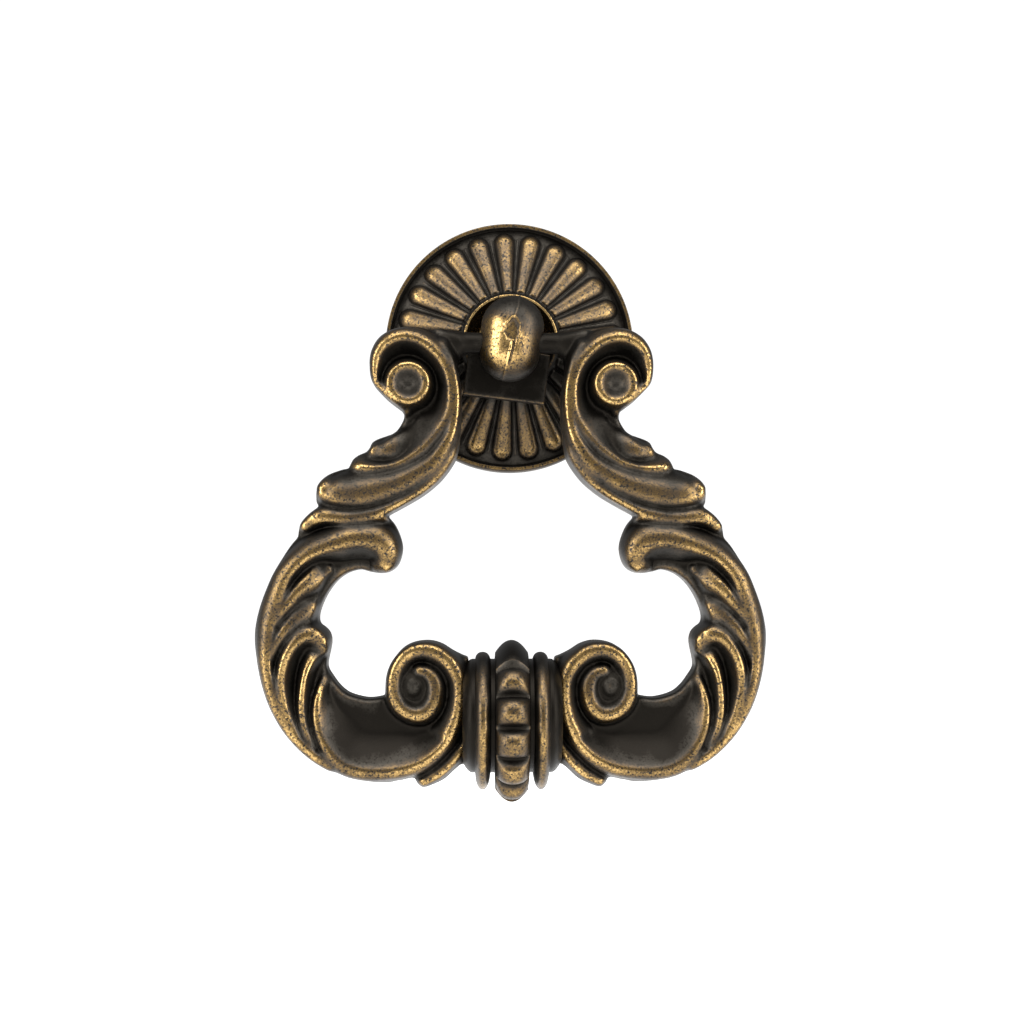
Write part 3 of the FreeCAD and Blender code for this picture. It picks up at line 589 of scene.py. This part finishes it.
def collar_wear_and_shade(points, normal):
    """The collar's groove is dark patina, its upper side and its ends beside the scrolls are painted shade,
    and its rings are bright.
    """
    a = np.abs(points[:, 0])
    up = points[:, 2] - PIVOT[2] + COLLAR_DOWN
    # dark patina in the groove by the band, and painted shade in the gap beside the scrolls
    groove_patina_and_gap_shade = np.clip(1 - np.abs(a - 1.75) / 0.35, 0, 1) + np.clip((a - 3.15) / 0.3, 0, 1)
    # painted shade on the collar's upper side
    painted_top_shade = np.clip((up - 4.6) / 1.2, 0, 1)
    ring = np.clip(1.2 - np.abs(a - RING_PLACE) / 0.42, 0, 1)
    return 0.16 * ring - 0.36 * np.clip(groove_patina_and_gap_shade, 0, 1) - 0.28 * painted_top_shade - 0.04


def strip_quads(index):
    """Quads between the rows of a grid of corners whose columns close round."""
    near, far = index[:-1], index[1:]
    return np.stack([near, np.roll(near, -1, 1), np.roll(far, -1, 1), far], axis=-1).reshape(-1, 4)


def end_quads(edge, flip):
    """Quads that close a round end."""
    quads = [[edge[k], edge[k + 1], edge[-k - 2], edge[-k - 1]] for k in range(len(edge) // 2 - 1)]
    return [quad[::-1] for quad in quads] if flip else quads


def collar():
    """Corners and quads of the turned collar with its beads."""
    x, turn = np.meshgrid(
        np.linspace(-COLLAR_REACH, COLLAR_REACH, COLLAR_ROWS),
        np.linspace(0, math.tau, COLLAR_COLUMNS, endpoint=False), indexing="ij")
    a = np.abs(x)
    # degrees up from the front
    lift = np.degrees(np.angle(np.exp(1j * turn)))
    along = (np.mod(lift, BEAD_PITCH) - BEAD_PITCH / 2) / (BEAD_SHARE * BEAD_PITCH)
    pillow = np.clip(1 - np.abs(along) ** 2.2, 0, 1) ** 0.6 * np.clip(1 - (a / BEAD_HALF) ** 3, 0, 1) ** 0.5
    arch = np.clip(1 - (a / BAND_HALF) ** 2, 0, 1)
    beads = BAND_EDGE + BAND_RISE * arch + (BEAD_TOP - BAND_RADIUS) * pillow
    plain = BAND_PLAIN_EDGE + (BEAD_TOP - BAND_PLAIN_EDGE) * arch
    band = np.where((lift > -BEADS_BELOW * BEAD_PITCH) & (lift < BEADS_ABOVE * BEAD_PITCH), beads, plain)
    taper = NECK_TAPER * np.clip((a - NECK_TAPER_FROM) / NECK_TAPER_OVER, 0, 1) ** 2
    neck = NECK_RADIUS + NECK_SWELL * np.sin(turn) - taper
    bulge = np.clip(1 - np.abs((a - RING_PLACE) / RING_HALF) ** 2.2, 0, 1) ** 0.55
    radius = np.where(a < BAND_HALF, band, neck + (RING_RADIUS - neck) * bulge)
    places = np.stack([x, -radius * np.cos(turn), radius * np.sin(turn)], axis=-1)
    index = np.arange(x.size).reshape(x.shape)
    quads = np.vstack([strip_quads(index), end_quads(index[0], True), end_quads(index[-1], False)])
    return places.reshape(-1, 3) + PIVOT + np.array([0, 0, -COLLAR_DOWN]), quads


def petal_heights(r, turn):
    """How far the petals and the lines between them stand up from the backplate's cone."""
    pitch = math.tau / PETALS
    swing = np.mod(turn + pitch / 2, pitch) - pitch / 2
    along, aside = r * np.cos(swing), r * np.sin(swing)
    tip_middle = PETAL_END - PETAL_TIP_HALF
    widening = np.clip((along - PETAL_START) / (tip_middle - PETAL_START), 0, 1)
    half = PETAL_ROOT_HALF + (PETAL_TIP_HALF - PETAL_ROOT_HALF) * widening
    share = np.hypot(aside, np.clip(along - tip_middle, 0, None)) / half
    tipward = np.clip((along - PETAL_START) / (PETAL_END - PETAL_START), 0, 1)
    rise = PETAL_ROOT_RISE + PETAL_ADDED_RISE * tipward
    petal = rise * np.clip(1 - share ** 2.6, 0, 1) ** 0.55
    line = LINE_RISE * np.exp(-((pitch / 2 - np.abs(swing)) * r / LINE_HALF) ** 2) * (r < LINE_END)
    return np.maximum(petal, line) * np.clip((r - RELIEF_FROM) / RELIEF_OVER, 0, 1)


def rosette():
    """Corners and quads of the fluted backplate."""
    turns = np.linspace(0, math.tau, PETALS * CORNERS_A_PETAL, endpoint=False)
    front = np.concatenate([np.linspace(*rings) for rings in PLATE_RINGS])
    back, back_heights = zip(*PLATE_BACK)
    r, turn = np.meshgrid(np.concatenate([front, back]), turns, indexing="ij")
    height = np.concatenate([np.interp(front, *zip(*PLATE_FRONT)), back_heights])[:, None] + 0 * turn
    height[:len(front)] += petal_heights(r[:len(front)], turn[:len(front)])
    x, z = (r * np.cos(turn)).ravel(), (r * np.sin(turn)).ravel()
    c, s = math.cos(PLATE_TURN), math.sin(PLATE_TURN)
    index = np.arange(r.size).reshape(r.shape)
    quads = strip_quads(np.vstack([index, index[:1]]))
    return np.stack([x * c - z * s, -height.ravel(), x * s + z * c], axis=1), quads


def head_place(x, z):
    """Places across and up the post's head, which leans a little."""
    return (x * math.cos(HEAD_LEAN) - z * math.sin(HEAD_LEAN),
            x * math.sin(HEAD_LEAN) + z * math.cos(HEAD_LEAN))


def post():
    """Corners and quads of the post: its egg-shaped head, the block and the shank."""
    x, y, z = np.meshgrid(*grid_axes(POST_LOW, POST_HIGH, POST_VOXEL), indexing="ij")
    u, v = head_place(x, z)
    forward = PIVOT[1] - y
    depth = -y
    share = np.clip((v - HEAD_NOSE) / (HEAD_TOP - HEAD_NOSE), 0, 1)
    middle = HEAD_NOSE + share * (HEAD_TOP - HEAD_NOSE)
    head_radius = HEAD_NOSE_RADIUS + share * (HEAD_TOP_RADIUS - HEAD_NOSE_RADIUS)
    head_radius += head_marks(u, v) * (forward > 0)
    head = np.sqrt(u ** 2 + forward ** 2 + (v - middle) ** 2) - head_radius
    block = np.maximum.reduce([
        np.abs(u) - BLOCK_HALF_WIDTH, np.abs(v - BLOCK_MIDDLE) - BLOCK_HALF_HEIGHT,
        np.abs(depth - BLOCK_DEPTH) - BLOCK_HALF_DEPTH])
    shank = np.maximum.reduce([np.hypot(x, z) - SHANK_RADIUS, -depth, depth - SHANK_LENGTH])
    field = np.minimum(-smooth_max(-head, -block, HEAD_BLEND), shank)
    tap = np.maximum(np.hypot(x, z) - TAP_RADIUS, depth - TAP_DEPTH)
    bore = np.hypot(forward, z - PIVOT[2]) - BORE_RADIUS
    points, quads = skin(np.maximum(field, -np.minimum(tap, bore)), POST_LOW, POST_VOXEL)
    return relax(points, quads, 1), quads


def seam_place(v):
    """Where across the head the casting's seam runs."""
    return np.interp(v, (-6, -3.1, -1.2, 1.0, 2.6), (-0.5, -0.18, 0.05, 0.0, 0.27))


def scar_share(u, v):
    """0 in the middle of the gate's scar, 1 at its edge."""
    return np.hypot((u - SCAR_ACROSS) / SCAR_HALF_WIDTH, (v - SCAR_UP) / SCAR_HALF_HEIGHT)


def head_marks(u, v):
    """The casting's seam, the crack beside it and the broken gate's scar: how far they stand out."""
    aside = u - seam_place(v)
    seam = SEAM_HEIGHT * np.exp(-(aside / SEAM_WIDTH) ** 2)
    crack_length = np.clip((v - CRACK_BOTTOM) / 0.5, 0, 1) * (v < CRACK_TOP)
    crack = -CRACK_DEPTH * np.exp(-((aside - CRACK_ASIDE) / CRACK_WIDTH) ** 2) * crack_length
    turn = np.arctan2(v - SCAR_UP, u - SCAR_ACROSS)
    scar = scar_share(u, v) * (1 + 0.09 * np.sin(3 * turn + 0.8) + 0.06 * np.sin(7 * turn))
    pit = -SCAR_DEPTH * np.clip((1.0 - scar) / 0.25, 0, 1)
    lip = SCAR_LIP * np.exp(-((scar - 1.1) / 0.15) ** 2) * np.clip(0.45 + 0.65 * np.sin(turn + 0.5), 0, 1)
    return np.where(scar < 0.95, 0, seam) + crack * (scar > 0.8) + pit + lip


def head_wear_and_shade(points, normal):
    """The head is rubbed gold in front, with a painted highlight to the left and painted shade on its top
    and lower end; its scar and crack are darker, and the block is painted shadow.
    """
    u, v = head_place(points[:, 0], points[:, 2])
    forward = np.clip(-normal[:, 1], 0, 1)
    # wear in front, with a painted highlight that makes the left side brighter
    wear_and_left_highlight = np.where(u < 0, forward ** 0.7, forward ** 1.4) * (1 - 0.45 * np.clip(u / 1.2, 0, 1))
    # painted shade at the head's lower end
    above_end = np.clip((v + 4.4) / 2.0, 0, 1)
    # painted shade on the head's top
    crown = np.clip((v - 0.7 + np.clip(u + 0.2, 0, 1)) / 1.5, 0, 1)
    aside = u - seam_place(v)
    marks = 0.10 * np.clip((1 - scar_share(u, v)) / 0.2, 0, 1)
    marks += 0.20 * np.exp(-((aside - CRACK_ASIDE) / 0.12) ** 2) * (v < CRACK_TOP) * (v > -2.9)
    marks -= 0.12 * np.exp(-(aside / 0.10) ** 2)
    head = 0.48 * wear_and_left_highlight * above_end * (1 - crown) - 0.12 * crown - marks * wear_and_left_highlight - 0.15 * (1 - above_end)
    # the block is dark as painted shadow under the head; its lower edge is lighter with wear
    block = 0.12 * (v < -5.4) - 0.30
    return np.where(points[:, 1] < -7.0, head, block)


def shader(material):
    """The material's node tree and its surface shader."""
    material.use_nodes = True
    tree = material.node_tree
    return tree, tree.nodes["Principled BSDF"]


def noise(tree, place, scale, detail):
    """A cloud texture that is fixed to the piece."""
    node = tree.nodes.new("ShaderNodeTexNoise")
    node.inputs["Scale"].default_value = scale
    node.inputs["Detail"].default_value = detail
    tree.links.new(place, node.inputs["Vector"])
    return node.outputs["Fac"]


def calc(tree, operation, *values):
    """One step of arithmetic on sockets and numbers."""
    node = tree.nodes.new("ShaderNodeMath")
    node.operation = operation
    for socket, value in zip(node.inputs, values):
        if isinstance(value, (int, float)):
            socket.default_value = value
        else:
            tree.links.new(value, socket)
    return node.outputs[0]


def spread(tree, value, low, high, to_low=0.0, to_high=1.0):
    """A value's range stretched to another range."""
    node = tree.nodes.new("ShaderNodeMapRange")
    node.inputs["From Min"].default_value = low
    node.inputs["From Max"].default_value = high
    node.inputs["To Min"].default_value = to_low
    node.inputs["To Max"].default_value = to_high
    tree.links.new(value, node.inputs["Value"])
    return node.outputs["Result"]


def bronze_ramp(tree, worn_and_shaded):
    """The colour from how far the finish is rubbed, with the painted light and shade added in: dark patina,
    brown, gold.
    """
    ramp = tree.nodes.new("ShaderNodeValToRGB")
    stops = ramp.color_ramp.elements
    stops[0].color = (0.0095, 0.0083, 0.0068, 1)
    stops[1].color = (0.55, 0.37, 0.15, 1)
    for position, colour in (
            (0.22, (0.030, 0.0268, 0.0225, 1)), (0.37, (0.056, 0.041, 0.027, 1)),
            (0.56, (0.115, 0.075, 0.032, 1)), (0.74, (0.26, 0.168, 0.064, 1))):
        stops.new(position).color = colour
    tree.links.new(worn_and_shaded, ramp.inputs["Fac"])
    return ramp.outputs["Color"]


def antique_bronze(name):
    """Dark patina, rubbed through to golden metal on the crests, with fine speckle and dark pits, and the
    painted light and shade that the pieces store.
    """
    material = bpy.data.materials.new(name)
    tree, surface = shader(material)
    place = tree.nodes.new("ShaderNodeTexCoord").outputs["Object"]
    relief = tree.nodes.new("ShaderNodeAttribute")
    relief.attribute_name = "wear_and_shade"
    wear_and_shade = relief.outputs["Fac"]
    grain = noise(tree, place, 6200, 2)
    pits = noise(tree, place, 4600, 1)
    cloud = noise(tree, place, 520, 4)
    speckle_size = spread(tree, wear_and_shade, 0.15, 0.6, 0.12, 0.65)
    speckle = calc(tree, "MULTIPLY", calc(tree, "SUBTRACT", grain, 0.5), speckle_size)
    patches = calc(tree, "MULTIPLY", calc(tree, "SUBTRACT", cloud, 0.5), 0.45)
    pit_size = spread(tree, wear_and_shade, 0.3, 0.6, 0.1, 0.5)
    pitting = calc(tree, "MULTIPLY", spread(tree, pits, 0.54, 0.70), pit_size)
    worn_and_shaded = calc(tree, "ADD", calc(tree, "ADD", wear_and_shade, speckle), patches)
    worn_and_shaded = calc(tree, "SUBTRACT", worn_and_shaded, pitting)
    tree.links.new(bronze_ramp(tree, worn_and_shaded), surface.inputs["Base Color"])
    surface.inputs["Metallic"].default_value = 1.0
    tree.links.new(spread(tree, worn_and_shaded, 0.2, 0.8, 0.48, 0.24), surface.inputs["Roughness"])
    bump = tree.nodes.new("ShaderNodeBump")
    bump.inputs["Strength"].default_value = 0.22
    bump.inputs["Distance"].default_value = 0.00004
    tree.links.new(grain, bump.inputs["Height"])
    tree.links.new(bump.outputs["Normal"], surface.inputs["Normal"])
    return material


def plain_white(name):
    """Plain white matt surface that glows a little, which keeps the shadows on it pale."""
    material = bpy.data.materials.new(name)
    tree, surface = shader(material)
    surface.inputs["Base Color"].default_value = (0.9, 0.9, 0.9, 1)
    surface.inputs["Roughness"].default_value = 0.9
    surface.inputs["Emission Color"].default_value = (1, 1, 1, 1)
    surface.inputs["Emission Strength"].default_value = 0.75
    return material


def area_light(name, place, size, power):
    """A soft light that looks at the handle's middle."""
    data = bpy.data.lights.new(name, "AREA")
    data.shape = "RECTANGLE"
    data.size, data.size_y = size
    data.energy = power
    light = bpy.data.objects.new(name, data)
    bpy.context.collection.objects.link(light)
    light.location = place
    light.rotation_mode = "QUATERNION"
    light.rotation_quaternion = (LIT_MIDDLE - Vector(place)).to_track_quat("-Z", "Y")


def studio():
    """White floor, soft lights, and a surround that the camera sees paler than the metal does."""
    bpy.ops.mesh.primitive_plane_add(size=FLOOR_SIZE, location=(0, 0, FLOOR_HEIGHT))
    floor = bpy.context.object
    floor.name = "floor"
    floor.data.materials.append(plain_white("floor_white"))
    area_light("top_light", (0.0, -0.22, 0.35), size=(0.45, 0.3), power=3.5)
    area_light("front_light", (-0.16, -0.42, -0.25), size=(0.3, 0.25), power=3.8)
    area_light("left_light", (-0.38, -0.22, 0.08), size=(0.25, 0.4), power=2.8)
    area_light("right_light", (0.38, -0.22, 0.08), size=(0.25, 0.4), power=2.8)
    world = bpy.data.worlds.new("studio")
    bpy.context.scene.world = world
    world.use_nodes = True
    nodes, links = world.node_tree.nodes, world.node_tree.links
    background = nodes["Background"]
    background.inputs["Color"].default_value = (1, 1, 1, 1)
    path = nodes.new("ShaderNodeLightPath")
    level = nodes.new("ShaderNodeMapRange")
    level.inputs["To Min"].default_value = 0.38
    level.inputs["To Max"].default_value = 1.1
    links.new(path.outputs["Is Camera Ray"], level.inputs["Value"])
    links.new(level.outputs["Result"], background.inputs["Strength"])


def photo_camera():
    """The camera that took the photograph."""
    data = bpy.data.cameras.new("photo_camera")
    data.sensor_width = SENSOR
    data.lens = LENS
    data.clip_start = 0.01
    camera = bpy.data.objects.new("photo_camera", data)
    bpy.context.collection.objects.link(camera)
    camera.location = CAMERA * MM
    camera.rotation_euler = CAMERA_TURN
    bpy.context.scene.camera = camera


bronze = antique_bronze("antique_bronze")
right_points, right_quads = half_bail()
left_points = (right_points - PIVOT) * np.array([-1, 1, 1]) + PIVOT
left_quads = right_quads[:, ::-1]
make_piece("bail_right", right_points, right_quads, "bail", ["bail"], "bail", bail_tones)
make_piece("bail_left", left_points, left_quads, "bail", ["bail"], "bail", bail_tones)
make_piece("bail_collar", *collar(), "bail", ["bail"], "bail", collar_wear_and_shade)
make_piece("backplate", *rosette(), "base", ["rosette"], "rosette", plate_wear_and_shade)
make_piece("knuckle_post", *post(), "base", ["post"], "post", head_wear_and_shade)

studio()
photo_camera()
bpy.context.scene.view_settings.view_transform = "Standard"
